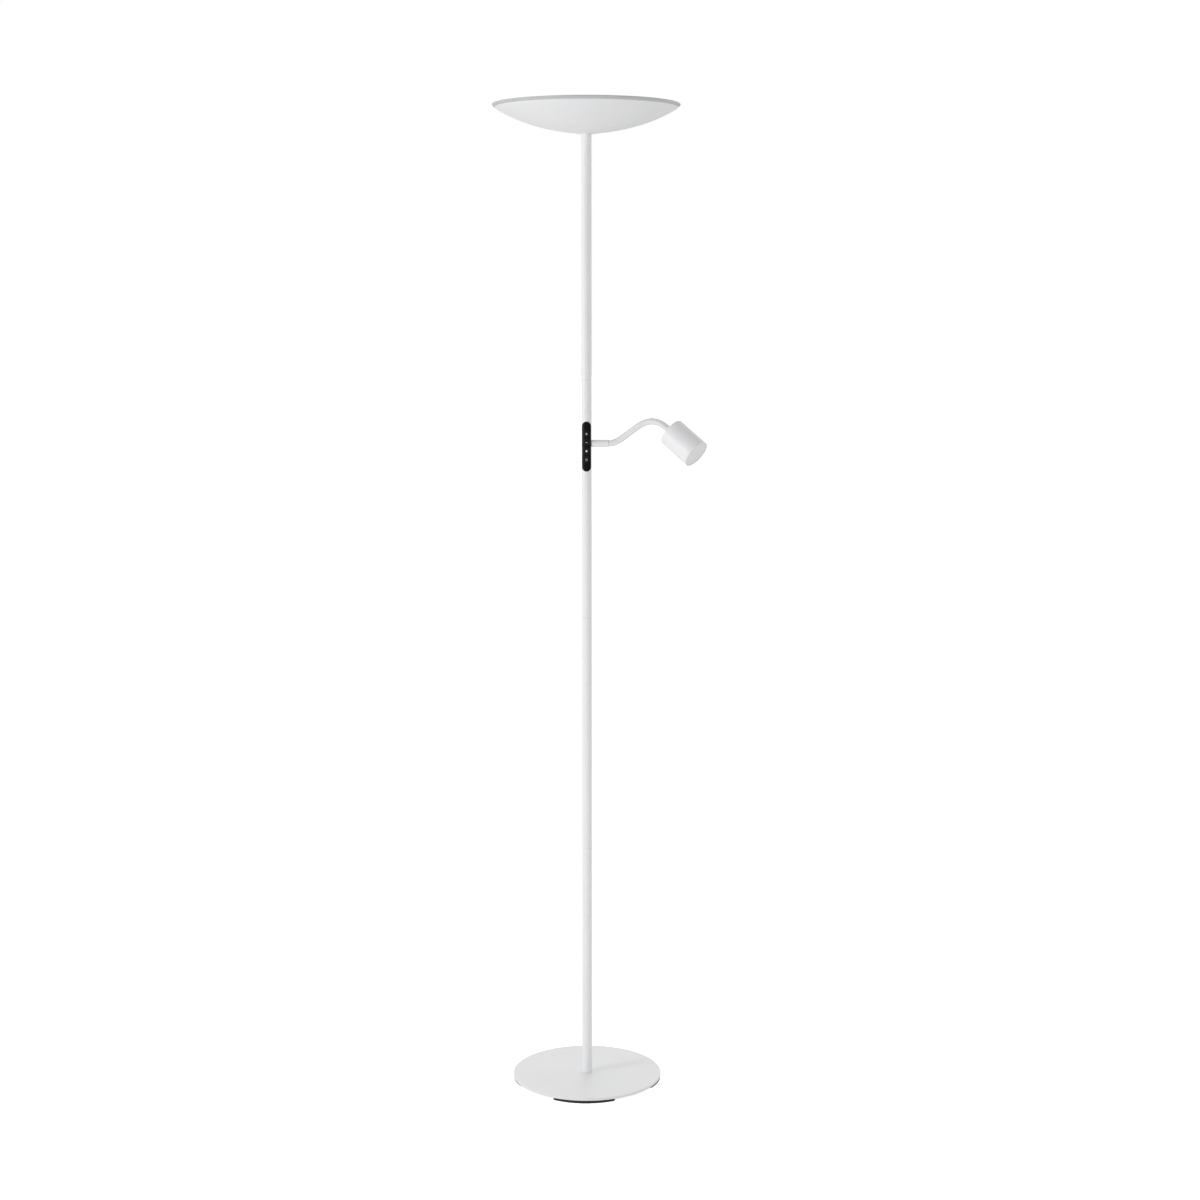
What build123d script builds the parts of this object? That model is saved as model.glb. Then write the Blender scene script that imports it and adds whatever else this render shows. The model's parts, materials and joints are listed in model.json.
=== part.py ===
from build123d import *
import math
import os

# Torchiere floor lamp with a reading light on a flexible neck, in millimetres.
# Origin: on the floor, on the pole's axis. +Z is up, -Y is the front, where the
# control panel is, and +X is the side that the reading light's neck leaves from.
os.makedirs("parts", exist_ok=True)

# ---------------------------------------------------------------- dimensions
# base
pad_t = 5.5                # height of the foam feet
plate_t = 4.5              # steel base plate
plate_r = 140.0
plate_top = pad_t + plate_t
pad_out_r = 110.0          # outer arc of a half-moon foot
pad_half_w = 64.0          # half of a foot's width
pad_edge_r = plate_r - 0.8 # a foot's outer arc touches this radius
pad_turn = -2.2            # the feet's turn about the pole

# pole: four equal tubes, one above the other
pole_r = 9.5
pole_wall = 1.0
bore_r = pole_r - pole_wall
tube_l = 437.0
seam_gap = 0.1             # half of the gap between two tubes
seam_bevel = 0.35
sleeve_l = 60.0
thread_r = 5.0             # hollow threaded rods at the foot and at the top
thread_bore_r = 3.4
pole_top = plate_top + 4 * tube_l

# cord inlet, at the back of the lowest tube
inlet_z = 46.0
inlet_bore_r = 2.9
inlet_body_r = 5.1
inlet_flange_r = 6.4
inlet_out_y = 11.4
inlet_in_y = 5.2

# control panel on the third tube
panel_z = 1199.6
panel_w = 16.5
panel_h = 91.0
panel_r = 10.2             # radius of the panel's face about the pole's axis
slot_w = 14.0
slot_h = 88.0
key_z = {"key_plus": 1222.6, "key_minus": 1207.0, "key_uplight": 1191.4, "key_reading": 1175.8}
key_r = 5.7
key_hole_r = 6.0
key_face_r = 10.3
key_travel = 0.5
bezel_edge = 0.45          # rounding of the bezel's outer edge
key_edge = 0.3             # rounding of a key's face

# root of the reading light's neck
arm_z = 1204.9
ferrule_r = 7.1
ferrule_x0 = pole_r + 0.1
ferrule_x1 = 40.0
stub_r = 3.9

# neck: ten hinges, turn about, up and down (odd ones) and sideways (even ones)
neck_r = 6.1
neck_cup_r = 6.3
neck_lip = 3.0             # a link starts this far past its hinge
neck_wire_r = 2.9
neck_pitch = 14.1402       # from one hinge to the next
neck_lead = 3.0            # from the ferrule's end to the first hinge
neck_tail = 5.0            # from the last hinge to the head's back
neck_angles = [24.8, -10.3, 16.0, -1.7, -17.8, -8.3, -35.5, -9.0, -20.1, -9.5]

# reading head
head_r = 26.6
head_l = 65.5
head_wall = 1.2
light_z = head_l - 25.0     # back of the heat sink's disc

# uplight dish
wall = 0.8
shade_z = pole_top
shade_pts = [(22, 1759.3), (40, 1761.9), (65, 1766.1), (90, 1772.1), (114.5, 1779.8),
             (134.2, 1787.8), (149, 1794.9), (159.9, 1800.9), (163.9, 1803.4)]
shade_flat_r = 11.0
lip_r = 163.9
lip_top = 1808.5
ring_r = 168.4
ring_in_r = 161.0
ring_foot_r = 164.9        # the ring's face leans in to this radius at its foot
ring_lean_z = 1807.9
ring_z0 = 1804.3
rim_z = 1810.0
tray_z = 1783.0
tray_r = 108.0


def front_plane(y, z):
    "A sketch plane that faces the front, at this depth and height."
    return Plane(origin=(0, y, z), x_dir=(1, 0, 0), z_dir=(0, -1, 0))


# ---------------------------------------------------------------- base
with BuildPart() as base_plate:
    with BuildSketch(Plane.XY.offset(pad_t)):
        Circle(plate_r)
        Circle(thread_r + 0.25, mode=Mode.SUBTRACT)
    extrude(amount=plate_t)
    fillet(base_plate.edges().filter_by(GeomType.CIRCLE).group_by(Axis.Z)[-1].sort_by(SortBy.RADIUS)[-1], 1.0)
    chamfer(base_plate.edges().filter_by(GeomType.CIRCLE).group_by(Axis.Z)[0].sort_by(SortBy.RADIUS)[-1], 0.4)
base_plate.part.label = "base_plate"
export_step(base_plate.part, "parts/base_plate.step")

# four half-moon feet of foam under the rim
pad_c = pad_edge_r - pad_out_r
pad_chord = pad_c + math.sqrt(pad_out_r**2 - pad_half_w**2)
with BuildPart() as foot_pads:
    with BuildSketch(Plane.XY) as pad_sk:
        with PolarLocations(pad_c, 4, start_angle=-90 + pad_turn):
            Circle(pad_out_r)
        with PolarLocations(0, 4, start_angle=-90 + pad_turn):
            Rectangle(2 * pad_chord, 2 * pad_chord, mode=Mode.SUBTRACT)
        fillet(pad_sk.vertices(), 3.0)
    extrude(amount=pad_t)
    chamfer(foot_pads.faces().filter_by(Axis.Z).group_by(Axis.Z)[0].edges(), 0.4)
foot_pads.part.label = "foot_pads"
export_step(foot_pads.part, "parts/foot_pads.step")

with BuildPart() as base_washer:
    with BuildSketch(Plane.XY.offset(pad_t - 1.2)):
        Circle(12.0)
        Circle(thread_r + 0.15, mode=Mode.SUBTRACT)
    extrude(amount=1.2)
base_washer.part.label = "base_washer"
export_step(base_washer.part, "parts/base_washer.step")

with BuildPart() as base_nut:
    with BuildSketch(Plane.XY.offset(pad_t - 1.2 - 3.2)):
        RegularPolygon(8.0, 6, major_radius=False)
        Circle(thread_r + 0.05, mode=Mode.SUBTRACT)
    extrude(amount=3.2)
    chamfer(base_nut.faces().sort_by(Axis.Z)[0].outer_wire().edges(), 0.5)
base_nut.part.label = "base_nut"
export_step(base_nut.part, "parts/base_nut.step")

# hollow threaded rod that draws the plate against the pole's foot
with BuildPart() as base_threaded_rod:
    with BuildSketch(Plane.XY.offset(0.9)):
        Circle(thread_r)
        Circle(thread_bore_r, mode=Mode.SUBTRACT)
    extrude(amount=31.1)
    chamfer(base_threaded_rod.faces().sort_by(Axis.Z)[0].outer_wire().edges(), 0.5)
    chamfer(base_threaded_rod.faces().sort_by(Axis.Z)[-1].outer_wire().edges(), 0.5)
base_threaded_rod.part.label = "base_threaded_rod"
export_step(base_threaded_rod.part, "parts/base_threaded_rod.step")

with BuildPart() as pole_foot_plug:
    with BuildSketch(Plane.XY.offset(plate_top + 0.1)):
        Circle(bore_r - 0.05)
        Circle(thread_r + 0.05, mode=Mode.SUBTRACT)
    extrude(amount=27.0)
    chamfer(pole_foot_plug.faces().sort_by(Axis.Z)[-1].outer_wire().edges(), 0.8)
pole_foot_plug.part.label = "pole_foot_plug"
export_step(pole_foot_plug.part, "parts/pole_foot_plug.step")

# ---------------------------------------------------------------- pole
# the lowest tube has the cord's hole at the back
with BuildPart() as pole_tube_1:
    with BuildSketch(Plane.XY.offset(plate_top + 0.02)):
        Circle(pole_r)
        Circle(bore_r, mode=Mode.SUBTRACT)
    extrude(amount=tube_l - seam_gap - 0.02)
    chamfer(pole_tube_1.faces().sort_by(Axis.Z)[-1].outer_wire().edges(), seam_bevel)
    chamfer(pole_tube_1.faces().sort_by(Axis.Z)[0].outer_wire().edges(), 0.2)
    with BuildSketch(Plane(origin=(0, 0, inlet_z), x_dir=(1, 0, 0), z_dir=(0, 1, 0))):
        Circle(inlet_body_r + 0.1)
    extrude(amount=pole_r + 1, mode=Mode.SUBTRACT)
pole_tube_1.part.label = "pole_tube_1"
export_step(pole_tube_1.part, "parts/pole_tube_1.step")

with BuildPart() as pole_tube_2:
    with BuildSketch(Plane.XY.offset(plate_top + tube_l + seam_gap)):
        Circle(pole_r)
        Circle(bore_r, mode=Mode.SUBTRACT)
    extrude(amount=tube_l - 2 * seam_gap)
    chamfer(pole_tube_2.faces().sort_by(Axis.Z)[-1].outer_wire().edges(), seam_bevel)
    chamfer(pole_tube_2.faces().sort_by(Axis.Z)[0].outer_wire().edges(), seam_bevel)
pole_tube_2.part.label = "pole_tube_2"
export_step(pole_tube_2.part, "parts/pole_tube_2.step")

# the third tube has the panel's slot in front and the ferrule's hole at the side
with BuildPart() as pole_tube_3:
    with BuildSketch(Plane.XY.offset(plate_top + 2 * tube_l + seam_gap)):
        Circle(pole_r)
        Circle(bore_r, mode=Mode.SUBTRACT)
    extrude(amount=tube_l - 2 * seam_gap)
    chamfer(pole_tube_3.faces().sort_by(Axis.Z)[-1].outer_wire().edges(), seam_bevel)
    chamfer(pole_tube_3.faces().sort_by(Axis.Z)[0].outer_wire().edges(), seam_bevel)
    with BuildSketch(front_plane(0, panel_z)):
        SlotOverall(slot_h, slot_w, rotation=90)
    extrude(amount=pole_r + 1, mode=Mode.SUBTRACT)
    with BuildSketch(Plane(origin=(0, 0, arm_z), x_dir=(0, 1, 0), z_dir=(1, 0, 0))):
        Circle(stub_r + 0.1)
    extrude(amount=pole_r + 1, mode=Mode.SUBTRACT)
pole_tube_3.part.label = "pole_tube_3"
export_step(pole_tube_3.part, "parts/pole_tube_3.step")

with BuildPart() as pole_tube_4:
    with BuildSketch(Plane.XY.offset(plate_top + 3 * tube_l + seam_gap)):
        Circle(pole_r)
        Circle(bore_r, mode=Mode.SUBTRACT)
    extrude(amount=tube_l - seam_gap - 0.02)
    chamfer(pole_tube_4.faces().sort_by(Axis.Z)[-1].outer_wire().edges(), 0.2)
    chamfer(pole_tube_4.faces().sort_by(Axis.Z)[0].outer_wire().edges(), seam_bevel)
pole_tube_4.part.label = "pole_tube_4"
export_step(pole_tube_4.part, "parts/pole_tube_4.step")

# inner sleeves that join the tubes, open in the middle for the lead
for i in (1, 2, 3):
    with BuildPart() as sleeve:
        with BuildSketch(Plane.XY.offset(plate_top + i * tube_l - sleeve_l / 2)):
            Circle(bore_r - 0.05)
            Circle(bore_r - 1.35, mode=Mode.SUBTRACT)
        extrude(amount=sleeve_l)
        chamfer(sleeve.faces().sort_by(Axis.Z)[-1].outer_wire().edges(), 0.5)
        chamfer(sleeve.faces().sort_by(Axis.Z)[0].outer_wire().edges(), 0.5)
    sleeve.part.label = f"pole_sleeve_{i}"
    export_step(sleeve.part, f"parts/pole_sleeve_{i}.step")

# rubber grommet of the cord's inlet: a flange on each side of the tube's wall
back_plane = Plane(origin=(0, inlet_in_y, inlet_z), x_dir=(1, 0, 0), z_dir=(0, 1, 0))
with BuildPart() as grommet_flange:
    with BuildSketch(back_plane):
        Circle(inlet_flange_r)
    extrude(amount=inlet_out_y - inlet_in_y)
    fillet(grommet_flange.faces().sort_by(Axis.Y)[-1].edges(), 0.9)
    with Locations((0, 0, inlet_z)):
        Cylinder(pole_r + 0.03, 30, mode=Mode.SUBTRACT)
with BuildPart() as grommet_collar:
    with BuildSketch(back_plane):
        Circle(inlet_flange_r - 0.2)
    extrude(amount=4)
    with Locations((0, 0, inlet_z)):
        Cylinder(bore_r - 0.03, 30, mode=Mode.INTERSECT)
with BuildPart() as cord_grommet:
    with BuildSketch(back_plane):
        Circle(inlet_body_r)
    extrude(amount=inlet_out_y - inlet_in_y - 0.9)
    add(grommet_flange.part)
    add(grommet_collar.part)
    with BuildSketch(back_plane):
        Circle(inlet_bore_r)
    extrude(amount=10, mode=Mode.SUBTRACT)
cord_grommet.part.label = "cord_grommet"
export_step(cord_grommet.part, "parts/cord_grommet.step")

# ---------------------------------------------------------------- control unit
panel_z0 = panel_z - slot_h / 2
panel_z1 = panel_z + slot_h / 2

# plastic carrier inside the tube: a back plate and a block at each end
with BuildPart() as control_carrier:
    with BuildSketch(Plane.XY.offset(panel_z0)):
        Circle(bore_r - 0.1)
        with Locations((0, 1.325)):
            Rectangle(20, 2.55, mode=Mode.INTERSECT)
    extrude(amount=slot_h)
    for z in (panel_z0, panel_z1 - 4.0):
        with BuildSketch(Plane.XY.offset(z)):
            Circle(bore_r - 0.1)
            with Locations((0, -2.15)):
                Rectangle(20, 9.5, mode=Mode.INTERSECT)
        extrude(amount=4.0)
    # clearance for the ferrule's nut
    with Locations((7.8, 0, arm_z)):
        Box(10, 14, 13.4, mode=Mode.SUBTRACT)
    # pilot holes of the board's screws
    with BuildSketch(front_plane(2.6, 0)):
        with Locations((0, key_z["key_plus"] - 7.8), (0, key_z["key_reading"] + 7.8)):
            Circle(0.8)
    extrude(amount=3, mode=Mode.SUBTRACT)
control_carrier.part.label = "control_carrier"
export_step(control_carrier.part, "parts/control_carrier.step")

# bezel: a thin shell that follows the tube, with a raised plug in the slot
with BuildPart() as bezel_lip:
    with BuildSketch(front_plane(-3, panel_z)):
        SlotOverall(panel_h, panel_w, rotation=90)
    extrude(amount=9)
    with Locations((0, 0, panel_z)):
        Cylinder(panel_r, panel_h + 10, mode=Mode.INTERSECT)
        Cylinder(pole_r + 0.05, panel_h + 10, mode=Mode.SUBTRACT)
    fillet(bezel_lip.faces().sort_by(lambda f: f.center().Y)[0].outer_wire().edges(), bezel_edge)
with BuildPart() as control_bezel:
    with BuildSketch(front_plane(-3, panel_z)):
        SlotOverall(slot_h - 0.4, slot_w - 0.4, rotation=90)
    extrude(amount=9)
    with Locations((0, 0, panel_z)):
        Cylinder(panel_r, panel_h + 10, mode=Mode.INTERSECT)
        Cylinder(9.0, panel_h + 10, mode=Mode.SUBTRACT)
    add(bezel_lip.part)
    with BuildSketch(front_plane(0, 0)):
        with Locations(*[(0, z) for z in key_z.values()]):
            Circle(key_hole_r)
    extrude(amount=20, mode=Mode.SUBTRACT)
    outer_face = control_bezel.faces().sort_by(lambda f: f.center().Y)[0]
    chamfer([e for w in outer_face.inner_wires() for e in w.edges()], 0.12)
    # snap hooks that catch behind the slot's ends
    for s in (1, -1):
        with Locations((0, -8.3, panel_z + s * (slot_h / 2 - 1.3))):
            Box(4.0, 2.2, 1.8)
        with Locations((0, -7.65, panel_z + s * (slot_h / 2 + 0.2))):
            Box(4.0, 0.9, 2.4)
control_bezel.part.label = "control_bezel"
export_step(control_bezel.part, "parts/control_bezel.step")

# four round keys, each with a flange behind the bezel and a stem to its switch
for name, z in key_z.items():
    with BuildPart() as key:
        with BuildSketch(front_plane(-6.8, z)):
            Circle(key_r)
        extrude(amount=5)
        with Locations((0, 0, z)):
            Cylinder(key_face_r, 20, mode=Mode.INTERSECT)
        fillet(key.faces().sort_by(lambda f: f.center().Y)[0].outer_wire().edges(), key_edge)
        with BuildSketch(front_plane(-6.8, z)):
            RectangleRounded(8.0, 13.4, 1.0)
        extrude(amount=0.8)
        with BuildSketch(Plane(origin=(0, -6.8, z), x_dir=(1, 0, 0), z_dir=(0, 1, 0))):
            Circle(1.5)
        extrude(amount=1.2)
    key.part.label = name
    export_step(key.part, f"parts/{name}.step")

with BuildPart() as control_board:
    with BuildSketch(front_plane(0, panel_z)):
        RectangleRounded(12.0, 74.0, 1.0)
        with Locations((7.9, arm_z - panel_z)):
            Rectangle(10.0, 13.0, mode=Mode.SUBTRACT)
        with Locations((0, key_z["key_plus"] - 7.8 - panel_z), (0, key_z["key_reading"] + 7.8 - panel_z)):
            Circle(1.15, mode=Mode.SUBTRACT)
    extrude(amount=1.2)
control_board.part.label = "control_board"
export_step(control_board.part, "parts/control_board.step")

with BuildPart() as key_switches:
    with BuildSketch(front_plane(-1.25, 0)):
        with Locations(*[(0, z) for z in key_z.values()]):
            RectangleRounded(6.0, 6.0, 0.4)
    extrude(amount=3.2)
    with BuildSketch(front_plane(-4.45, 0)):
        with Locations(*[(0, z) for z in key_z.values()]):
            Circle(1.6)
    extrude(amount=0.55)
key_switches.part.label = "key_switches"
export_step(key_switches.part, "parts/key_switches.step")

with BuildPart() as board_screws:
    with BuildSketch(front_plane(2.4, 0)):
        with Locations((0, key_z["key_plus"] - 7.8), (0, key_z["key_reading"] + 7.8)):
            Circle(0.75)
    extrude(amount=4.0)
    with BuildSketch(front_plane(-1.25, 0)):
        with Locations((0, key_z["key_plus"] - 7.8), (0, key_z["key_reading"] + 7.8)):
            Circle(1.9)
    extrude(amount=1.1)
board_screws.part.label = "board_screws"
export_step(board_screws.part, "parts/board_screws.step")

# lead from the control unit up the pole to the uplight
lead_r = 1.7
with BuildPart() as uplight_lead:
    with BuildLine():
        lead_path = FilletPolyline((0, 4.6, 1172), (0, 4.6, 1275), (0, 0, 1335), (0, 0, 1799), (26, 0, 1799), (39, 0, 1790.5),
                                   radius=[200, 200, 10.8, 12])
    with BuildSketch(Plane(origin=(0, 4.6, 1172), z_dir=(0, 0, 1))):
        Circle(lead_r)
    sweep()
uplight_lead.part.label = "uplight_lead"
export_step(uplight_lead.part, "parts/uplight_lead.step")
print("lead", round(lead_path.length if hasattr(lead_path, "length") else 0, 1), "volume", round(uplight_lead.part.volume, 1),
      "section x length", round(math.pi * lead_r**2 * lead_path.length, 1))

# ---------------------------------------------------------------- neck root
side_plane = Plane(origin=(ferrule_x0, 0, arm_z), x_dir=(0, 1, 0), z_dir=(1, 0, 0))
with BuildPart() as arm_ferrule:
    with BuildSketch(side_plane):
        Circle(ferrule_r)
    extrude(amount=ferrule_x1 - ferrule_x0)
    fillet(arm_ferrule.edges().filter_by(GeomType.CIRCLE), 1.3)
    with BuildSketch(Plane(origin=(3.4, 0, arm_z), x_dir=(0, 1, 0), z_dir=(1, 0, 0))):
        Circle(stub_r)
    extrude(amount=8)
    with BuildSketch(Plane(origin=(3.0, 0, arm_z), x_dir=(0, 1, 0), z_dir=(1, 0, 0))):
        Circle(neck_wire_r)
    extrude(amount=40, mode=Mode.SUBTRACT)
    with BuildSketch(Plane(origin=(20, 0, arm_z), x_dir=(0, 1, 0), z_dir=(1, 0, 0))):
        Circle(5.45)
    extrude(amount=30, mode=Mode.SUBTRACT)
arm_ferrule.part.label = "arm_ferrule"
export_step(arm_ferrule.part, "parts/arm_ferrule.step")

with BuildPart() as ferrule_nut:
    with BuildSketch(Plane(origin=(3.6, 0, arm_z), x_dir=(0, 1, 0), z_dir=(1, 0, 0))):
        RegularPolygon(5.0, 6, major_radius=False, rotation=30)
        Circle(stub_r + 0.05, mode=Mode.SUBTRACT)
    extrude(amount=2.5)
ferrule_nut.part.label = "ferrule_nut"
export_step(ferrule_nut.part, "parts/ferrule_nut.step")


# The neck is a chain. Each link's direction follows from the hinge angles.
def turn(axes, about, angle):
    "Rotate a frame of three vectors about one of its own axes."
    a = Vector(*axes[about])
    return [Vector(*v).rotate(Axis((0, 0, 0), a), angle) for v in axes]


frame = [Vector(1, 0, 0), Vector(0, 1, 0), Vector(0, 0, 1)]
point = Vector(ferrule_x1 + neck_lead, 0, arm_z)
hinges = []
for i, q in enumerate(neck_angles):
    # an odd hinge lifts the neck about its cross axis, an even one swings it
    frame = turn(frame, 1, -q) if i % 2 == 0 else turn(frame, 2, q)
    hinges.append((point, list(frame)))
    point = point + frame[0] * (neck_pitch if i < len(neck_angles) - 1 else neck_tail)
head_back, head_frame = point, frame
for i, (p, f) in enumerate(hinges):
    print("hinge", i + 1, [round(v, 4) for v in p], "dir", [round(v, 6) for v in f[0]], "cross", [round(v, 6) for v in f[1]], "up", [round(v, 6) for v in f[2]])
print("head back", [round(v, 4) for v in head_back])

# the neck's fixed end, held in the ferrule
with BuildPart() as neck_root:
    with BuildSketch(Plane(origin=(20.4, 0, arm_z), x_dir=(0, 1, 0), z_dir=(1, 0, 0))):
        Circle(5.4)
    extrude(amount=ferrule_x1 + neck_lead - 20.4)
    with BuildSketch(Plane(origin=(ferrule_x1 + 0.1, 0, arm_z), x_dir=(0, 1, 0), z_dir=(1, 0, 0))):
        Circle(neck_r)
    extrude(amount=neck_lead - 0.1)
    with Locations((ferrule_x1 + neck_lead, 0, arm_z)):
        Sphere(neck_r)
    with BuildSketch(Plane(origin=(20, 0, arm_z), x_dir=(0, 1, 0), z_dir=(1, 0, 0))):
        Circle(neck_wire_r)
    extrude(amount=40, mode=Mode.SUBTRACT)
neck_root.part.label = "neck_root"
export_step(neck_root.part, "parts/neck_root.step")

# nine links: a cup at the near end, a ball at the far end
for i in range(9):
    p, f = hinges[i]
    with BuildPart(Plane(origin=p, x_dir=f[1], z_dir=f[0])) as link:
        with Locations((0, 0, neck_lip)):
            Cylinder(neck_r, neck_pitch - neck_lip, align=(Align.CENTER, Align.CENTER, Align.MIN))
        with Locations((0, 0, neck_pitch)):
            Sphere(neck_r)
        Sphere(neck_cup_r, mode=Mode.SUBTRACT)
        Cylinder(neck_wire_r, 60, mode=Mode.SUBTRACT)
    link.part.label = f"neck_link_{i + 1}"
    export_step(link.part, f"parts/neck_link_{i + 1}.step")

# ---------------------------------------------------------------- reading head
# local frame: origin at the middle of the head's back, z along its axis
hx, hy, hz = head_frame[0], head_frame[1], head_frame[2]


def head_plane(d):
    "A plane across the head's axis, this far from its back."
    return Plane(origin=head_back + hx * d, x_dir=hy, z_dir=hx)


with BuildPart() as head_collar:
    with BuildSketch(head_plane(-neck_tail + neck_lip)):
        Circle(neck_r)
    extrude(amount=neck_tail - neck_lip - 0.05)
    with BuildSketch(head_plane(-1)):
        Circle(3.9)
    extrude(amount=10)
    with Locations(Location(head_back - hx * neck_tail)):
        Sphere(neck_cup_r, mode=Mode.SUBTRACT)
    with BuildSketch(head_plane(-neck_tail)):
        Circle(neck_wire_r)
    extrude(amount=30, mode=Mode.SUBTRACT)
head_collar.part.label = "head_collar"
export_step(head_collar.part, "parts/head_collar.step")

with BuildPart() as head_nut:
    with BuildSketch(head_plane(2.45)):
        RegularPolygon(6.5, 6, major_radius=False)
        Circle(3.95, mode=Mode.SUBTRACT)
    extrude(amount=4.0)
head_nut.part.label = "head_nut"
export_step(head_nut.part, "parts/head_nut.step")

with BuildPart() as head_housing:
    with BuildSketch(head_plane(0)):
        Circle(head_r)
    extrude(amount=head_l)
    fillet(head_housing.edges().filter_by(GeomType.CIRCLE), 0.9)
    with BuildSketch(head_plane(2.4)):
        Circle(head_r - head_wall)
    extrude(amount=head_l, mode=Mode.SUBTRACT)
    # seat of the lens
    with BuildSketch(head_plane(head_l - 3.4)):
        Circle(head_r - 0.7)
    extrude(amount=10, mode=Mode.SUBTRACT)
    with BuildSketch(head_plane(-1)):
        Circle(4.0)
    extrude(amount=6, mode=Mode.SUBTRACT)
head_housing.part.label = "head_housing"
export_step(head_housing.part, "parts/head_housing.step")

with BuildPart() as head_heat_sink:
    with BuildSketch(head_plane(light_z)):
        Circle(head_r - head_wall - 0.1)
    extrude(amount=5.0)
    with BuildSketch(head_plane(light_z - 16.0)):
        with GridLocations(0, 4.8, 1, 9):
            Rectangle(48, 1.6)
        Circle(head_r - head_wall - 0.6, mode=Mode.INTERSECT)
    extrude(amount=16.5)
    with BuildSketch(head_plane(light_z)):
        with PolarLocations(15.5, 3):
            Circle(1.2)
    extrude(amount=5.0, mode=Mode.SUBTRACT)
head_heat_sink.part.label = "head_heat_sink"
export_step(head_heat_sink.part, "parts/head_heat_sink.step")

with BuildPart() as reading_led_board:
    with BuildSketch(head_plane(light_z + 5.05)):
        Circle(22.0)
        with PolarLocations(15.5, 3):
            Circle(1.35, mode=Mode.SUBTRACT)
    extrude(amount=1.6)
reading_led_board.part.label = "reading_led_board"
export_step(reading_led_board.part, "parts/reading_led_board.step")

with BuildPart() as reading_board_screws:
    with BuildSketch(head_plane(light_z + 0.5)):
        with PolarLocations(15.5, 3):
            Circle(1.15)
    extrude(amount=6.3)
    with BuildSketch(head_plane(light_z + 6.7)):
        with PolarLocations(15.5, 3):
            Circle(2.2)
    extrude(amount=1.3)
reading_board_screws.part.label = "reading_board_screws"
export_step(reading_board_screws.part, "parts/reading_board_screws.step")

with BuildPart() as reading_led:
    with BuildSketch(head_plane(light_z + 6.7)):
        RectangleRounded(13.5, 13.5, 0.8)
    extrude(amount=0.8)
    with BuildSketch(head_plane(light_z + 7.5)):
        Circle(5.2)
    extrude(amount=0.5)
reading_led.part.label = "reading_led"
export_step(reading_led.part, "parts/reading_led.step")

# funnel reflector between the light source and the lens
with BuildPart() as reading_reflector:
    with BuildSketch(Plane(origin=head_back + hx * light_z, x_dir=hy, z_dir=-hz)):
        with BuildLine():
            Polyline((9.2, 8.2), (10.2, 8.2), (24.4, 20.4), (24.4, 21.3), (23.4, 21.3), (9.2, 9.2), close=True)
        make_face()
    revolve(axis=Axis(head_back, hx))
reading_reflector.part.label = "reading_reflector"
export_step(reading_reflector.part, "parts/reading_reflector.step")

with BuildPart() as reading_lens:
    with BuildSketch(head_plane(head_l - 3.35)):
        Circle(head_r - 0.8)
    extrude(amount=2.6)
    fillet(reading_lens.faces().sort_by(Axis(head_back, hx))[-1].edges(), 0.5)
reading_lens.part.label = "reading_lens"
export_step(reading_lens.part, "parts/reading_lens.step")

# ---------------------------------------------------------------- uplight
with BuildPart() as pole_top_plug:
    with BuildSketch(Plane.XY.offset(pole_top - 27.1)):
        Circle(bore_r - 0.05)
        Circle(thread_r + 0.05, mode=Mode.SUBTRACT)
    extrude(amount=27.0)
    chamfer(pole_top_plug.faces().sort_by(Axis.Z)[0].outer_wire().edges(), 0.8)
pole_top_plug.part.label = "pole_top_plug"
export_step(pole_top_plug.part, "parts/pole_top_plug.step")

with BuildPart() as shade_threaded_rod:
    with BuildSketch(Plane.XY.offset(pole_top - 22)):
        Circle(thread_r)
        Circle(thread_bore_r, mode=Mode.SUBTRACT)
    extrude(amount=tray_z + 6.0 - (pole_top - 22))
    chamfer(shade_threaded_rod.faces().sort_by(Axis.Z)[0].outer_wire().edges(), 0.5)
    chamfer(shade_threaded_rod.faces().sort_by(Axis.Z)[-1].outer_wire().edges(), 0.5)
shade_threaded_rod.part.label = "shade_threaded_rod"
export_step(shade_threaded_rod.part, "parts/shade_threaded_rod.step")

# the dish: a spun sheet of even thickness with an upright lip at its edge
inner_pts = []
for k, (r, z) in enumerate(shade_pts):
    a, b = shade_pts[max(k - 1, 0)], shade_pts[min(k + 1, len(shade_pts) - 1)]
    t = math.atan2(b[1] - a[1], b[0] - a[0])
    inner_pts.append((r - wall * math.sin(t), z + wall * math.cos(t)))
inner_pts[-1] = (lip_r - wall, shade_pts[-1][1] + 0.35)
with BuildPart() as uplight_shade:
    with BuildSketch(Plane.XZ):
        with BuildLine():
            Line((thread_r + 0.2, shade_z), (shade_flat_r, shade_z))
            Spline((shade_flat_r, shade_z), *shade_pts, tangents=((1, 0.03), (1, 0.72)))
            Polyline(shade_pts[-1], (lip_r, lip_top), (lip_r - wall, lip_top), inner_pts[-1])
            Spline(*inner_pts[::-1], (shade_flat_r, shade_z + wall), tangents=((-1, -0.72), (-1, -0.03)))
            Polyline((shade_flat_r, shade_z + wall), (thread_r + 0.2, shade_z + wall), (thread_r + 0.2, shade_z))
        make_face()
    revolve(axis=Axis.Z)
uplight_shade.part.label = "uplight_shade"
export_step(uplight_shade.part, "parts/uplight_shade.step")

with BuildPart() as shade_washer:
    with BuildSketch(Plane.XY.offset(shade_z + wall + 0.02)):
        Circle(10.8)
        Circle(thread_r + 0.15, mode=Mode.SUBTRACT)
    extrude(amount=1.5)
shade_washer.part.label = "shade_washer"
export_step(shade_washer.part, "parts/shade_washer.step")

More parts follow.
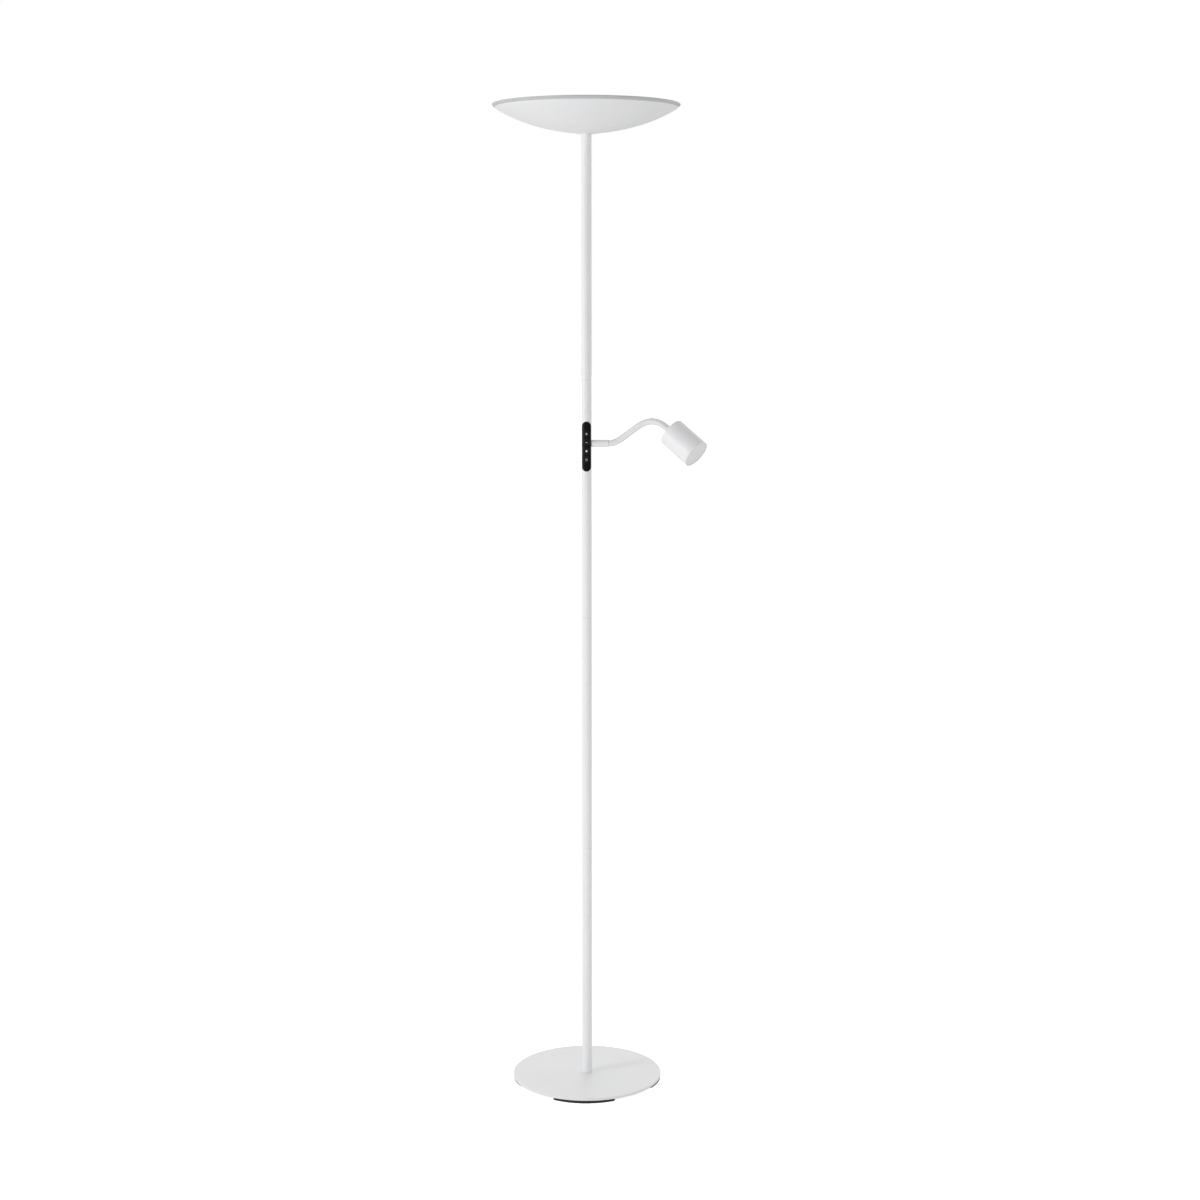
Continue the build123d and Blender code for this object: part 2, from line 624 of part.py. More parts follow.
# two equal nuts: one on the dish's washer, one on the tray
with BuildPart() as shade_nuts:
    for z in (shade_z + wall + 1.55, tray_z + 1.55):
        with BuildSketch(Plane.XY.offset(z)):
            RegularPolygon(8.0, 6, major_radius=False)
            Circle(thread_r + 0.05, mode=Mode.SUBTRACT)
        extrude(amount=4.0)
shade_nuts.part.label = "shade_nuts"
export_step(shade_nuts.part, "parts/shade_nuts.step")

with BuildPart() as tray_spacer:
    with BuildSketch(Plane.XY.offset(shade_z + wall + 5.6)):
        Circle(8.0)
        Circle(thread_r + 0.15, mode=Mode.SUBTRACT)
    extrude(amount=tray_z - (shade_z + wall + 5.6) - 0.02)
tray_spacer.part.label = "tray_spacer"
export_step(tray_spacer.part, "parts/tray_spacer.step")

screw_r = 88.0
with BuildPart() as led_tray:
    with BuildSketch(Plane.XY.offset(tray_z)):
        Circle(tray_r)
        Circle(thread_r + 0.2, mode=Mode.SUBTRACT)
        with PolarLocations(screw_r, 4, start_angle=45):
            Circle(1.6, mode=Mode.SUBTRACT)
    extrude(amount=1.5)
    with BuildSketch(Plane.XY.offset(tray_z)):
        Circle(tray_r)
        Circle(tray_r - 1.5, mode=Mode.SUBTRACT)
    extrude(amount=8.0)
led_tray.part.label = "led_tray"
export_step(led_tray.part, "parts/led_tray.step")

with BuildPart() as uplight_led_board:
    with BuildSketch(Plane.XY.offset(tray_z + 1.55)):
        Circle(98.0)
        Circle(14.0, mode=Mode.SUBTRACT)
        with PolarLocations(screw_r, 4, start_angle=45):
            Circle(1.6, mode=Mode.SUBTRACT)
    extrude(amount=1.6)
uplight_led_board.part.label = "uplight_led_board"
export_step(uplight_led_board.part, "parts/uplight_led_board.step")

with BuildPart() as uplight_leds:
    with BuildSketch(Plane.XY.offset(tray_z + 3.2)):
        for r, n in ((28, 6), (52, 12), (76, 18)):
            with PolarLocations(r, n, start_angle=180 / n):
                Rectangle(3.5, 3.5)
    extrude(amount=0.8)
uplight_leds.part.label = "uplight_leds"
export_step(uplight_leds.part, "parts/uplight_leds.step")

with BuildPart() as tray_screws:
    with BuildSketch(Plane.XY.offset(tray_z - 3.5)):
        with PolarLocations(screw_r, 4, start_angle=45):
            Circle(1.5)
    extrude(amount=6.8)
    with BuildSketch(Plane.XY.offset(tray_z + 3.2)):
        with PolarLocations(screw_r, 4, start_angle=45):
            Circle(2.9)
    extrude(amount=1.9)
    fillet(tray_screws.faces().filter_by(Axis.Z).group_by(Axis.Z)[-1].edges(), 0.7)
tray_screws.part.label = "tray_screws"
export_step(tray_screws.part, "parts/tray_screws.step")

with BuildPart() as lead_terminal:
    with BuildSketch(Plane.XY.offset(tray_z + 3.2)):
        with Locations((41.5, 0)):
            RectangleRounded(9.0, 9.0, 0.6)
    extrude(amount=6.2)
    # the lead's end stops short inside the terminal's mouth
    with BuildSketch(Plane(origin=(30, 0, 1796.4), x_dir=(0, 1, 0), z_dir=(9, 0, -5.885))):
        Circle(lead_r + 0.2)
    extrude(amount=11.2, mode=Mode.SUBTRACT)
lead_terminal.part.label = "lead_terminal"
export_step(lead_terminal.part, "parts/lead_terminal.step")

# constant-current driver hung under the tray
with BuildPart() as led_driver:
    with BuildSketch(Plane.XY.offset(tray_z - 10.05)):
        with Locations((-50, 0)):
            RectangleRounded(50.0, 30.0, 2.0)
    extrude(amount=10.0)
    fillet(led_driver.faces().sort_by(Axis.Z)[0].edges(), 1.0)
led_driver.part.label = "led_driver"
export_step(led_driver.part, "parts/led_driver.step")

# rim ring: covers the dish's lip and holds the diffuser down
with BuildPart() as shade_rim_ring:
    with BuildSketch(Plane.XZ) as ring_sk:
        with BuildLine():
            Polyline((lip_r + 0.2, ring_z0), (ring_foot_r, ring_z0), (ring_r, ring_lean_z), (ring_r, rim_z), (ring_in_r, rim_z),
                     (ring_in_r, rim_z - 1.2), (lip_r + 0.2, rim_z - 1.2), close=True)
        make_face()
    revolve(axis=Axis.Z)
    fillet(shade_rim_ring.edges().filter_by(GeomType.CIRCLE).filter_by(lambda e: abs(e.radius - ring_r) < 0.01), 0.7)
    fillet(shade_rim_ring.edges().filter_by(GeomType.CIRCLE).filter_by(lambda e: abs(e.radius - ring_in_r) < 0.01), 0.4)
shade_rim_ring.part.label = "shade_rim_ring"
export_step(shade_rim_ring.part, "parts/shade_rim_ring.step")

with BuildPart() as uplight_diffuser:
    with BuildSketch(Plane.XY.offset(lip_top - 2.05)):
        Circle(lip_r - wall - 0.4)
    extrude(amount=2.0)
uplight_diffuser.part.label = "uplight_diffuser"
export_step(uplight_diffuser.part, "parts/uplight_diffuser.step")
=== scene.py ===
import bpy, bmesh, math, json, random
import numpy as np
from mathutils import Vector, Matrix


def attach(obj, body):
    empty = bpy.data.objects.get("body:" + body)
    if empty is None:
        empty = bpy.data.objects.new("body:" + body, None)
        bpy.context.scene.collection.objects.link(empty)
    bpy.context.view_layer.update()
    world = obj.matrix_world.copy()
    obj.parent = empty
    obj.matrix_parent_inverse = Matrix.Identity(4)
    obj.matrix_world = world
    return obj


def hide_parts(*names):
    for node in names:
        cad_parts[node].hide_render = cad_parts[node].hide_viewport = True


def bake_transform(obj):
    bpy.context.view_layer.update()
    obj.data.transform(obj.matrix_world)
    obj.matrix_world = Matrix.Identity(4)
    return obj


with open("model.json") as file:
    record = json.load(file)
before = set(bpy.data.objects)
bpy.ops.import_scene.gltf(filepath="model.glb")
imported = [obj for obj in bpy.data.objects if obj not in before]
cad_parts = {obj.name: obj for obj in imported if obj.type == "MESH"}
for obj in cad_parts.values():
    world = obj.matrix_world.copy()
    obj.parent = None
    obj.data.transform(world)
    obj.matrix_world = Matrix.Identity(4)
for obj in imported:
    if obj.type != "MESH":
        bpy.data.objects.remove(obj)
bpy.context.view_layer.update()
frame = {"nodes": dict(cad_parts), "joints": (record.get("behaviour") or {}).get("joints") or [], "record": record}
N = frame["nodes"]
JOINTS = {j["name"]: j for j in frame["joints"]}
random.seed(7)
MM = 0.001
WORLD_BASE = 1.035
WORLD_GRADIENT = (0.0, 0.56, -0.40)
KEY_POWER = 42.0
FILL_POWER = 11.5

# ------------------------------------------------------------------ materials


class Mat:
    "A small helper around one node tree."

    def __init__(self, name):
        self.m = bpy.data.materials.new(name)
        self.m.use_nodes = True
        self.t = self.m.node_tree
        self.n = self.t.nodes
        self.b = next(x for x in self.n if x.type == "BSDF_PRINCIPLED")
        self.co = self.n.new("ShaderNodeTexCoord")

    def link(self, a, b):
        self.t.links.new(a, b)

    def set(self, **kw):
        for k, v in kw.items():
            self.b.inputs[k.replace("_", " ")].default_value = v
        return self

    def mapping(self, scale=(1, 1, 1), rot=(0, 0, 0)):
        m = self.n.new("ShaderNodeMapping")
        m.inputs["Scale"].default_value = scale
        m.inputs["Rotation"].default_value = rot
        self.link(self.co.outputs["Object"], m.inputs["Vector"])
        return m.outputs["Vector"]

    def noise(self, scale, detail=3.0, rough=0.5, vec=None, distortion=0.0):
        x = self.n.new("ShaderNodeTexNoise")
        x.inputs["Scale"].default_value = scale
        x.inputs["Detail"].default_value = detail
        x.inputs["Roughness"].default_value = rough
        x.inputs["Distortion"].default_value = distortion
        self.link(vec if vec is not None else self.co.outputs["Object"], x.inputs["Vector"])
        return x.outputs["Fac"]

    def voronoi(self, scale, vec=None, feature="F1"):
        x = self.n.new("ShaderNodeTexVoronoi")
        x.feature = feature
        x.inputs["Scale"].default_value = scale
        self.link(vec if vec is not None else self.co.outputs["Object"], x.inputs["Vector"])
        return x.outputs["Distance"]

    def ramp(self, fac, stops):
        x = self.n.new("ShaderNodeValToRGB")
        e = x.color_ramp.elements
        e[0].position, e[0].color = stops[0][0], (*stops[0][1], 1)
        e[1].position, e[1].color = stops[-1][0], (*stops[-1][1], 1)
        for p, c in stops[1:-1]:
            k = e.new(p)
            k.color = (*c, 1)
        self.link(fac, x.inputs["Fac"])
        return x.outputs["Color"]

    def remap(self, fac, a, b, lo=0.0, hi=1.0):
        x = self.n.new("ShaderNodeMapRange")
        x.inputs["From Min"].default_value = lo
        x.inputs["From Max"].default_value = hi
        x.inputs["To Min"].default_value = a
        x.inputs["To Max"].default_value = b
        self.link(fac, x.inputs["Value"])
        return x.outputs["Result"]

    def math(self, op, a, b=None):
        x = self.n.new("ShaderNodeMath")
        x.operation = op
        for i, v in enumerate((a, b)):
            if v is None:
                continue
            if isinstance(v, (int, float)):
                x.inputs[i].default_value = v
            else:
                self.link(v, x.inputs[i])
        return x.outputs[0]

    def bump(self, height, dist, strength=1.0, normal=None):
        x = self.n.new("ShaderNodeBump")
        x.inputs["Distance"].default_value = dist
        x.inputs["Strength"].default_value = strength
        self.link(height, x.inputs["Height"])
        if normal is not None:
            self.link(normal, x.inputs["Normal"])
        return x.outputs["Normal"]

    def out(self, colour=None, rough=None, normal=None):
        if colour is not None:
            self.link(colour, self.b.inputs["Base Color"])
        if rough is not None:
            self.link(rough, self.b.inputs["Roughness"])
        if normal is not None:
            self.link(normal, self.b.inputs["Normal"])
        return self.m


def powder_coat(name, light, dark, rough=(0.40, 0.52), grain=0.00005):
    "White powder coat: fine orange peel, a faint cloud in the colour."
    m = Mat(name)
    cloud = m.noise(9.0, 3.0, 0.55)
    fleck = m.noise(2600.0, 2.0, 0.6)
    mix = m.math("ADD", m.math("MULTIPLY", cloud, 0.75), m.math("MULTIPLY", fleck, 0.25))
    col = m.ramp(mix, [(0.35, dark), (0.65, light)])
    peel = m.noise(750.0, 2.0, 0.5)
    fine = m.noise(2300.0, 1.0, 0.5)
    h = m.math("ADD", m.math("MULTIPLY", peel, 0.7), m.math("MULTIPLY", fine, 0.3))
    r = m.remap(m.noise(420.0, 2.0, 0.5), *rough, 0.3, 0.7)
    m.set(Specular_IOR_Level=0.5)
    return m.out(col, r, m.bump(h, grain, 0.55))


def plastic(name, light, dark, rough, grain=0.00003, scale=1800.0, spec=0.5, coat=0.0):
    m = Mat(name)
    col = m.ramp(m.noise(60.0, 4.0, 0.6), [(0.35, dark), (0.65, light)])
    h = m.noise(scale, 2.0, 0.6)
    r = m.remap(m.noise(150.0, 4.0, 0.65), *rough, 0.3, 0.7)
    m.set(Specular_IOR_Level=spec, Coat_Weight=coat, Coat_Roughness=0.06)
    return m.out(col, r, m.bump(h, grain, 0.5))


def metal(name, light, dark, rough, brush=(1, 1, 1), grain=0.00001):
    m = Mat(name)
    vec = m.mapping(brush)
    streak = m.noise(900.0, 3.0, 0.6, vec)
    patch = m.noise(120.0, 4.0, 0.6)
    mix = m.math("ADD", m.math("MULTIPLY", streak, 0.5), m.math("MULTIPLY", patch, 0.5))
    col = m.ramp(mix, [(0.35, dark), (0.65, light)])
    r = m.remap(mix, *rough, 0.35, 0.65)
    m.set(Metallic=1.0)
    return m.out(col, r, m.bump(streak, grain, 0.4))


def foam(name):
    m = Mat(name)
    cell = m.voronoi(1500.0)
    big = m.noise(350.0, 3.0, 0.6)
    col = m.ramp(cell, [(0.1, (0.012, 0.012, 0.012)), (0.7, (0.035, 0.035, 0.034))])
    h = m.math("ADD", m.math("MULTIPLY", cell, 0.7), m.math("MULTIPLY", big, 0.3))
    m.set(Specular_IOR_Level=0.3)
    return m.out(col, m.remap(big, 0.78, 0.92, 0.3, 0.7), m.bump(h, 0.00015, 0.7))


def opal(name, light, dark, rough=(0.33, 0.42), grain=0.00002):
    "Opal sheet: a little light goes into it, and its face is finely frosted."
    m = Mat(name)
    col = m.ramp(m.noise(14.0, 3.0, 0.5), [(0.35, dark), (0.65, light)])
    frost = m.noise(2800.0, 2.0, 0.6)
    m.set(Subsurface_Weight=0.25, Subsurface_Radius=(0.004, 0.004, 0.0036), Subsurface_Scale=1.0, Specular_IOR_Level=0.5)
    return m.out(col, m.remap(m.noise(300.0, 3.0, 0.5), *rough, 0.3, 0.7), m.bump(frost, grain, 0.4))


M = {}
M["white_coat"] = powder_coat("white_coat", (0.797, 0.80, 0.808), (0.772, 0.775, 0.784))
M["neck_white"] = powder_coat("neck_white", (0.797, 0.80, 0.808), (0.757, 0.76, 0.768), (0.36, 0.46), 0.00003)
M["ring_grey"] = plastic("ring_grey", (0.518, 0.52, 0.525), (0.488, 0.49, 0.495), (0.42, 0.52))
M["opal_plastic"] = opal("opal_plastic", (0.798, 0.80, 0.80), (0.768, 0.77, 0.772))
M["gloss_black"] = plastic("gloss_black", (0.008, 0.008, 0.0085), (0.005, 0.005, 0.0055), (0.26, 0.36), 0.00001, 600.0, 0.07)
M["key_black"] = plastic("key_black", (0.011, 0.011, 0.0115), (0.007, 0.007, 0.0075), (0.34, 0.44), 0.00002, 2400.0, 0.08)
M["plastic_black"] = plastic("plastic_black", (0.035, 0.035, 0.035), (0.025, 0.025, 0.026), (0.5, 0.62), 0.00005, 1500.0)
M["plastic_white"] = plastic("plastic_white", (0.74, 0.74, 0.72), (0.70, 0.70, 0.68), (0.45, 0.58), 0.00005, 1500.0)
M["rubber_white"] = plastic("rubber_white", (0.70, 0.70, 0.69), (0.66, 0.66, 0.65), (0.62, 0.74), 0.00006, 1100.0, 0.35)
M["cable_white"] = plastic("cable_white", (0.76, 0.76, 0.75), (0.72, 0.72, 0.71), (0.40, 0.5), 0.00003, 1300.0)
M["board_white"] = plastic("board_white", (0.80, 0.81, 0.80), (0.76, 0.77, 0.76), (0.22, 0.34), 0.00001, 900.0)
M["board_green"] = plastic("board_green", (0.02, 0.18, 0.075), (0.015, 0.13, 0.055), (0.22, 0.34), 0.00001, 900.0)
M["led_yellow"] = plastic("led_yellow", (0.80, 0.60, 0.14), (0.72, 0.52, 0.10), (0.3, 0.42), 0.00002, 3000.0)
M["zinc_steel"] = metal("zinc_steel", (0.66, 0.67, 0.69), (0.52, 0.53, 0.56), (0.26, 0.42), (1, 1, 0.1))
M["aluminium_raw"] = metal("aluminium_raw", (0.78, 0.79, 0.80), (0.68, 0.69, 0.71), (0.30, 0.44), (0.08, 1, 1))
M["reflector_bright"] = metal("reflector_bright", (0.90, 0.91, 0.92), (0.86, 0.87, 0.88), (0.06, 0.14))
M["foam_black"] = foam("foam_black")

slots = {s["node"]: s["material_slot"] for s in frame["record"]["subparts"]}
for name, o in N.items():
    s = slots.get(name, name)
    o.data.materials.clear()
    o.data.materials.append(M[s])

# ------------------------------------------------------------------ mesh helpers


def add_mesh(name, verts, faces, mat, smooth_limit=math.radians(40)):
    "A new object from points in metres and faces. Edges sharper than the limit stay sharp."
    me = bpy.data.meshes.new(name)
    me.from_pydata([tuple(v) for v in verts], [], faces)
    me.validate()
    bm = bmesh.new()
    bm.from_mesh(me)
    bmesh.ops.recalc_face_normals(bm, faces=bm.faces)
    for f in bm.faces:
        f.smooth = True
    for e in bm.edges:
        if len(e.link_faces) == 2 and e.calc_face_angle(0.0) > smooth_limit:
            e.smooth = False
    bm.to_mesh(me)
    bm.free()
    o = bpy.data.objects.new(name, me)
    bpy.context.scene.collection.objects.link(o)
    me.materials.append(mat)
    return o


# ------------------------------------------------------------------ flexible neck
# One smooth curve from the ferrule's end to the collar on the head's back. The
# hinges of the frame lie along it, at most about 2 mm to one side.
FERRULE_END = 40.0
HEAD_BACK = Vector((153.9292, -32.1421, 1227.4611))
HEAD_AXIS = Vector((0.670699, -0.459463, -0.582286))
ARM_Z = 1204.9
XZ = [(40.0, ARM_Z), (67.4, 1216.6), (89.1, 1233.2), (105.4, 1243.0), (121.6, 1245.7), (132.4, 1243.0)]
knots = [np.array((x, -32.08 * ((x - 40.0) / 113.9) ** 1.75, z)) for x, z in XZ] + [np.array(HEAD_BACK)]


def clamped_spline(pts, t0, t1):
    "Cubic spline through the points with given end directions, over chord length."
    p = np.array(pts)
    h = np.linalg.norm(np.diff(p, axis=0), axis=1)
    n = len(p)
    A = np.zeros((n, n))
    B = np.zeros((n, 3))
    A[0, 0] = A[-1, -1] = 1
    B[0], B[-1] = t0, t1
    for i in range(1, n - 1):
        A[i, i - 1], A[i, i], A[i, i + 1] = h[i], 2 * (h[i - 1] + h[i]), h[i - 1]
        B[i] = 3 * ((p[i + 1] - p[i]) / h[i] * h[i - 1] + (p[i] - p[i - 1]) / h[i - 1] * h[i])
    m = np.linalg.solve(A, B)
    out = []
    for i in range(n - 1):
        k = 240
        for u in np.linspace(0, 1, k, endpoint=False):
            out.append((2 * u**3 - 3 * u**2 + 1) * p[i] + (u**3 - 2 * u**2 + u) * h[i] * m[i]
                       + (3 * u**2 - 2 * u**3) * p[i + 1] + (u**3 - u**2) * h[i] * m[i + 1])
    out.append(p[-1])
    return np.array(out)


line = clamped_spline(knots, (1, 0, 0), np.array(HEAD_AXIS))
arc = np.concatenate([[0], np.cumsum(np.linalg.norm(np.diff(line, axis=0), axis=1))])


def at(s):
    return np.array([np.interp(s, arc, line[:, k]) for k in range(3)])


def tangent(s):
    d = at(min(s + 0.4, arc[-1])) - at(max(s - 0.4, 0))
    return d / np.linalg.norm(d)


# hinge places along the curve
hinge_names = [f"neck_{'bend' if i % 2 == 0 else 'swing'}_{i // 2 + 1}" for i in range(10)]
hinges = [np.array(JOINTS[n]["pos_m"]) * 1000 for n in hinge_names]
hinge_s = [float(arc[np.argmin(np.linalg.norm(line - h, axis=1))]) for h in hinges]
S_END = arc[-1] - 2.0            # the collar on the head's back takes the last 2 mm
bounds_s = [0.0] + [(a + b) / 2 for a, b in zip(hinge_s, hinge_s[1:])] + [S_END]

HOSE_R = 6.3           # crown of a rib
GROOVE = 0.45          # depth between two ribs
PITCH = 2.4            # one turn of the winding
AROUND = 56
BORE = 3.2

# cross axes carried along the curve without twist
step = 0.2
stations = np.arange(0, arc[-1] + step, step)
side = np.array((0.0, 1.0, 0.0))
carried = []
for s in stations:
    t = tangent(min(s, arc[-1]))
    side = side - t * side.dot(t)
    side /= np.linalg.norm(side)
    carried.append(side.copy())
carried = np.array(carried)


def cross_axes(s):
    t = tangent(s)
    a = np.array([np.interp(s, stations, carried[:, k]) for k in range(3)])
    a -= t * a.dot(t)
    a /= np.linalg.norm(a)
    return t, a, np.cross(t, a)


def rib(s, ang):
    "Radius of the winding's surface: round crowns with narrow grooves, fading at both ends."
    u = (s / PITCH + ang / (2 * math.pi)) % 1.0
    x = 2 * u - 1
    fade = min(1.0, s / 1.2, (S_END - s) / 1.2)
    return HOSE_R - GROOVE * (0.25 * x * x + 0.75 * x**6) * max(0.0, fade) - 0.15 * (1 - max(0.0, fade))


for i in range(10):
    s0, s1 = bounds_s[i], bounds_s[i + 1]
    verts, faces = [], []
    angs = [2 * math.pi * k / AROUND for k in range(AROUND)]

    def ring(s, radius):
        t, a, b = cross_axes(s)
        c = at(s)
        r = radius if callable(radius) else (lambda _s, _a: radius)
        base = len(verts)
        for g in angs:
            verts.append((c + (a * math.cos(g) + b * math.sin(g)) * r(s, g)) * MM)
        return base

    rings = []
    if i == 0:
        # the hose's plain end sits in the ferrule's bore
        for x, r in ((20.6, BORE), (20.6, 5.1), (20.9, 5.35), (39.9, 5.35)):
            base = len(verts)
            for g in angs:
                verts.append(np.array((x, r * math.cos(g), ARM_Z + r * math.sin(g))) * MM)
            rings.append(base)
        rings.append(ring(0.03, 5.35))
    else:
        rings.append(ring(s0, BORE))
    first = 0.03 if i == 0 else s0
    fine = PITCH / 14
    inside = [j * fine for j in range(int(first / fine) - 1, int(s1 / fine) + 2) if first + 0.3 * fine < j * fine < s1 - 0.3 * fine]
    for s in [first] + inside + [s1]:
        rings.append(ring(s, rib))
    back = max(3, round((s1 - s0) / 1.8))
    for k in range(back, 0, -1):
        rings.append(ring(s0 + (s1 - s0) * k / back, BORE))
    if i == 0:
        rings.append(ring(0.0, BORE))
    for p, q in zip(rings, rings[1:] + rings[:1]):
        for k in range(AROUND):
            l = (k + 1) % AROUND
            faces.append((p + k, p + l, q + l, q + k))
    hose = add_mesh(f"neck_hose_{i + 1}", verts, faces, M["neck_white"], math.radians(62))
    # The points start and end lie along the hinge's tangent: start past the whole of the first rim, end before the last
    # one. Each section's last rim meets the next section's first rim.
    t = tangent(hinge_s[i])
    pivot = hinges[i]

    def along(s):
        _, a, b = cross_axes(s)
        return [t.dot(at(s) + (a * math.cos(g) + b * math.sin(g)) * HOSE_R - pivot) for g in angs]

    start = pivot + t * (max(along(s0)) + 0.05)
    end = pivot + t * (min(along(s1)) - 0.05)
    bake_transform(hose)
    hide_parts("neck_root" if i == 0 else f"neck_link_{i}")

# ------------------------------------------------------------------ marks on the keys
# Thin printed shapes that follow the round face of each key.
KEY_FACE_R = 10.3
marks = Mat("mark_white")
mcol = marks.ramp(marks.noise(900.0, 3.0, 0.6), [(0.35, (0.62, 0.63, 0.64)), (0.65, (0.72, 0.73, 0.74))])
M["mark_white"] = marks.out(mcol, marks.remap(marks.noise(1500.0), 0.42, 0.55), marks.bump(marks.noise(3000.0), 0.00001, 0.3))


def on_face(x, z, lift):
    r = KEY_FACE_R + lift
    return (x * MM, -math.sqrt(r * r - x * x) * MM, z * MM)


def disc(name, body, radii, z0, n=48):
    "A closed round or ring-shaped print: loops of the given radii (mm), top and underside."
    bm = bmesh.new()
    loops = []
    for lift in (0.03, -0.05):
        for r in (radii if lift > 0 else radii[::-1]):
            if r == 0:
                loops.append([bm.verts.new(on_face(0, z0, lift))])
            else:
                loops.append([bm.verts.new(on_face(r * math.cos(2 * math.pi * k / n), z0 + r * math.sin(2 * math.pi * k / n), lift)) for k in range(n)])
    pairs = list(zip(loops, loops[1:]))
    if radii[0] > 0:
        pairs.append((loops[-1], loops[0]))
    for p, q in pairs:
        for k in range(n):
            l = (k + 1) % n
            if len(p) == 1:
                bm.faces.new((p[0], q[k], q[l]))
            elif len(q) == 1:
                bm.faces.new((p[k], p[l], q[0]))
            else:
                bm.faces.new((p[k], p[l], q[l], q[k]))
    bmesh.ops.recalc_face_normals(bm, faces=bm.faces)
    me = bpy.data.meshes.new(name)
    bm.to_mesh(me)
    bm.free()
    o = bpy.data.objects.new(name, me)
    bpy.context.scene.collection.objects.link(o)
    me.materials.append(M["mark_white"])
    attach(o, body)
    return o


def patch(name, body, cells, z0):
    "A closed thin patch from a list of rectangles (x0, z0, x1, z1), merged where they touch."
    bm = bmesh.new()
    for x0, a0, x1, a1 in cells:
        nx = max(1, round((x1 - x0) / 0.25))
        for k in range(nx):
            xa, xb = x0 + (x1 - x0) * k / nx, x0 + (x1 - x0) * (k + 1) / nx
            bm.faces.new([bm.verts.new((x, 0, z)) for x, z in ((xa, a0), (xb, a0), (xb, a1), (xa, a1))])
    bmesh.ops.remove_doubles(bm, verts=bm.verts, dist=1e-5)
    top = bmesh.ops.extrude_face_region(bm, geom=bm.faces[:])
    lifted = {v for v in top["geom"] if isinstance(v, bmesh.types.BMVert)}
    for v in bm.verts:
        v.co = Vector(on_face(v.co.x, z0 + v.co.z, 0.03 if v in lifted else -0.05))
    bmesh.ops.recalc_face_normals(bm, faces=bm.faces)
    me = bpy.data.meshes.new(name)
    bm.to_mesh(me)
    bm.free()
    o = bpy.data.objects.new(name, me)
    bpy.context.scene.collection.objects.link(o)
    me.materials.append(M["mark_white"])
    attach(o, body)
    return o


a, b = 2.1, 0.38
patch("mark_plus", "key_plus", [(-a, -b, -b, b), (-b, -b, b, b), (b, -b, a, b), (-b, b, b, a), (-b, -a, b, -b)], 1222.6)
patch("mark_minus", "key_minus", [(-1.9, -0.35, 1.9, 0.35)], 1207.0)
disc("mark_uplight", "key_uplight", [0, 0.3, 0.6, 0.9, 1.2, 1.5, 1.75], 1191.4)
disc("mark_reading", "key_reading", [1.36, 1.6, 1.84], 1175.8)

# ------------------------------------------------------------------ stage


def plane(name, size, z, mat):
    me = bpy.data.meshes.new(name)
    s = size / 2
    me.from_pydata([(-s, -s, z), (s, -s, z), (s, s, z), (-s, s, z)], [], [(0, 1, 2, 3)])
    o = bpy.data.objects.new(name, me)
    bpy.context.scene.collection.objects.link(o)
    me.materials.append(mat)
    return o


fm = Mat("floor_pale")
fcol = fm.ramp(fm.noise(0.8, 2.0, 0.5), [(0.3, (0.82, 0.82, 0.82)), (0.7, (0.84, 0.84, 0.84))])
fm.set(Specular_IOR_Level=0.1, Emission_Color=(1, 1, 1, 1))
lengths = fm.n.new("ShaderNodeVectorMath")
lengths.operation = "LENGTH"
fm.link(fm.co.outputs["Object"], lengths.inputs[0])
floor_path = fm.n.new("ShaderNodeLightPath")
lift = fm.math("MULTIPLY", fm.remap(lengths.outputs["Value"], 0.80, 0.60, 0.3, 4.0), floor_path.outputs["Is Camera Ray"])
fm.link(lift, fm.b.inputs["Emission Strength"])
floor = plane("studio_floor", 80.0, -0.0001, fm.out(fcol, fm.remap(fm.noise(3.0), 0.8, 0.9)))

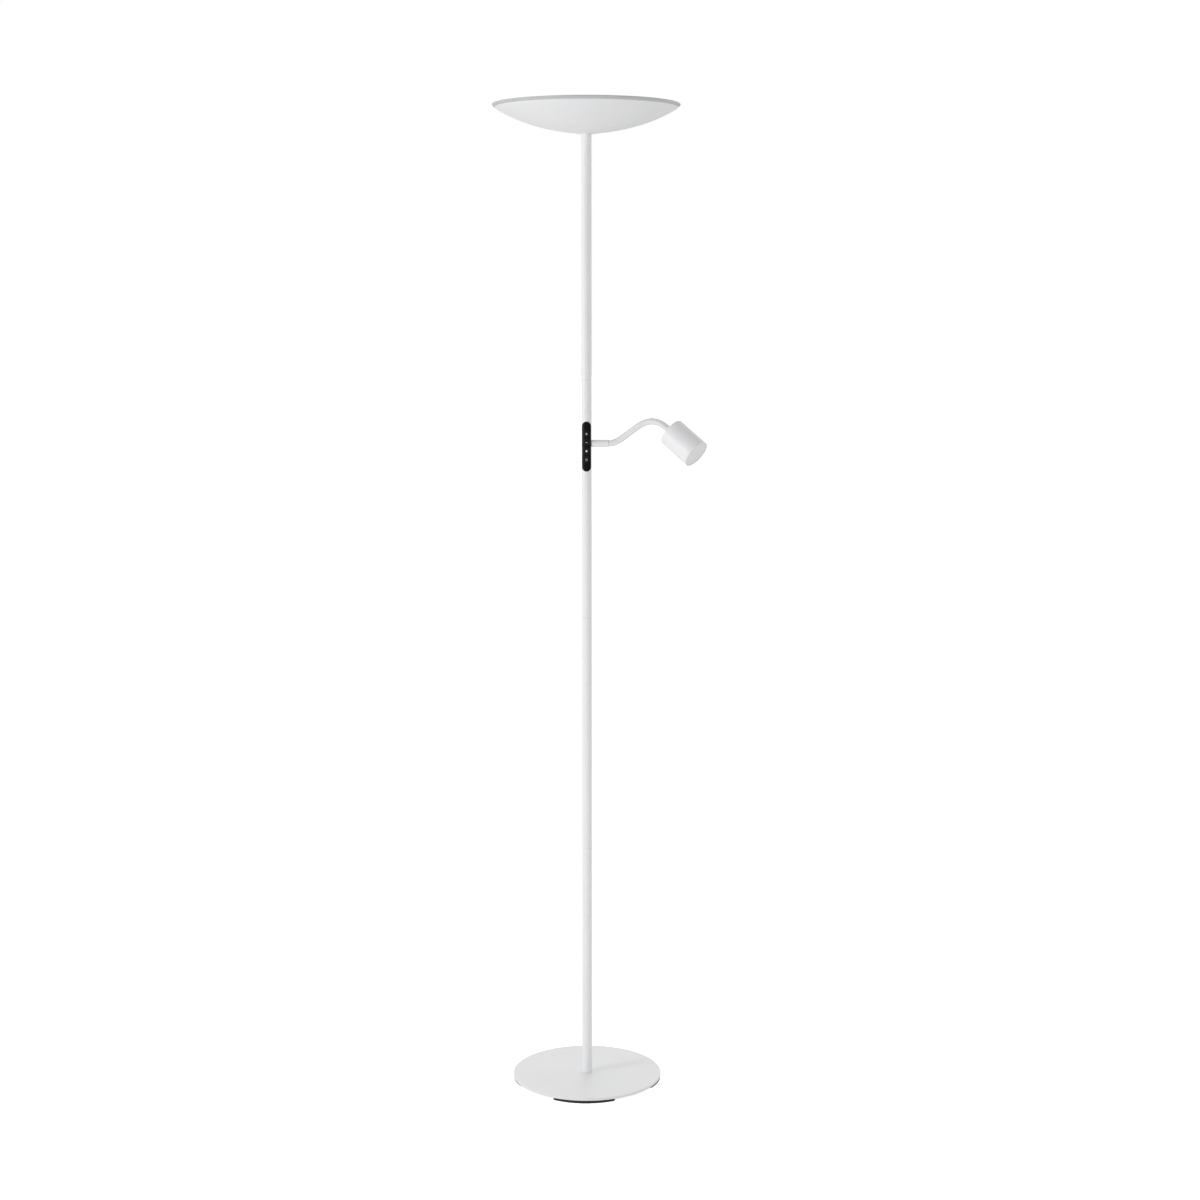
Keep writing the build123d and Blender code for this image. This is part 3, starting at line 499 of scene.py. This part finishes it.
# A pale room, brighter behind the lamp than in front. The camera sees it as plain white.
w = bpy.data.worlds.new("studio")
bpy.context.scene.world = w
w.use_nodes = True
wt = w.node_tree
wn = wt.nodes
out = next(x for x in wn if x.type == "OUTPUT_WORLD")
room = next(x for x in wn if x.type == "BACKGROUND")
tc = wn.new("ShaderNodeTexCoord")
dot = wn.new("ShaderNodeVectorMath")
dot.operation = "DOT_PRODUCT"
wt.links.new(tc.outputs["Generated"], dot.inputs[0])
dot.inputs[1].default_value = WORLD_GRADIENT
add = wn.new("ShaderNodeMath")
add.operation = "ADD"
wt.links.new(dot.outputs["Value"], add.inputs[0])
add.inputs[1].default_value = WORLD_BASE
room.inputs["Color"].default_value = (1.0, 1.0, 1.0, 1)
wt.links.new(add.outputs[0], room.inputs["Strength"])
plain = wn.new("ShaderNodeBackground")
plain.inputs["Color"].default_value = (1, 1, 1, 1)
plain.inputs["Strength"].default_value = 1.0
lp = wn.new("ShaderNodeLightPath")
mix = wn.new("ShaderNodeMixShader")
wt.links.new(lp.outputs["Is Camera Ray"], mix.inputs[0])
wt.links.new(room.outputs[0], mix.inputs[1])
wt.links.new(plain.outputs[0], mix.inputs[2])
wt.links.new(mix.outputs[0], out.inputs["Surface"])


def area(name, loc, target, size, power, colour=(1, 1, 1)):
    d = bpy.data.lights.new(name, "AREA")
    d.shape = "RECTANGLE"
    d.size, d.size_y = size
    d.energy = power
    d.color = colour
    o = bpy.data.objects.new(name, d)
    bpy.context.scene.collection.objects.link(o)
    o.location = loc
    o.rotation_euler = (Vector(target) - Vector(loc)).to_track_quat("-Z", "Y").to_euler()
    return o


area("softbox_left", (-3.25, -1.6, 1.25), (0, 0, 1.0), (0.9, 1.3), KEY_POWER)
area("low_fill", (0.3, -2.4, 0.25), (0, 0, 0.35), (1.6, 0.5), FILL_POWER)

cam = bpy.data.cameras.new("photo_camera")
cam.sensor_width = 36.0
cam.lens = 2085.8 / 1200 * 36.0
cam.clip_end = 100.0
co = bpy.data.objects.new("photo_camera", cam)
bpy.context.scene.collection.objects.link(co)
co.location = (0.025447, -3.8099, 1.45376)
co.rotation_euler = (math.radians(90 - 8.0446) + 0.00024, 0, 0.00024)
bpy.context.scene.camera = co

bpy.context.scene.view_settings.view_transform = "Standard"
bpy.context.scene.view_settings.look = "None"
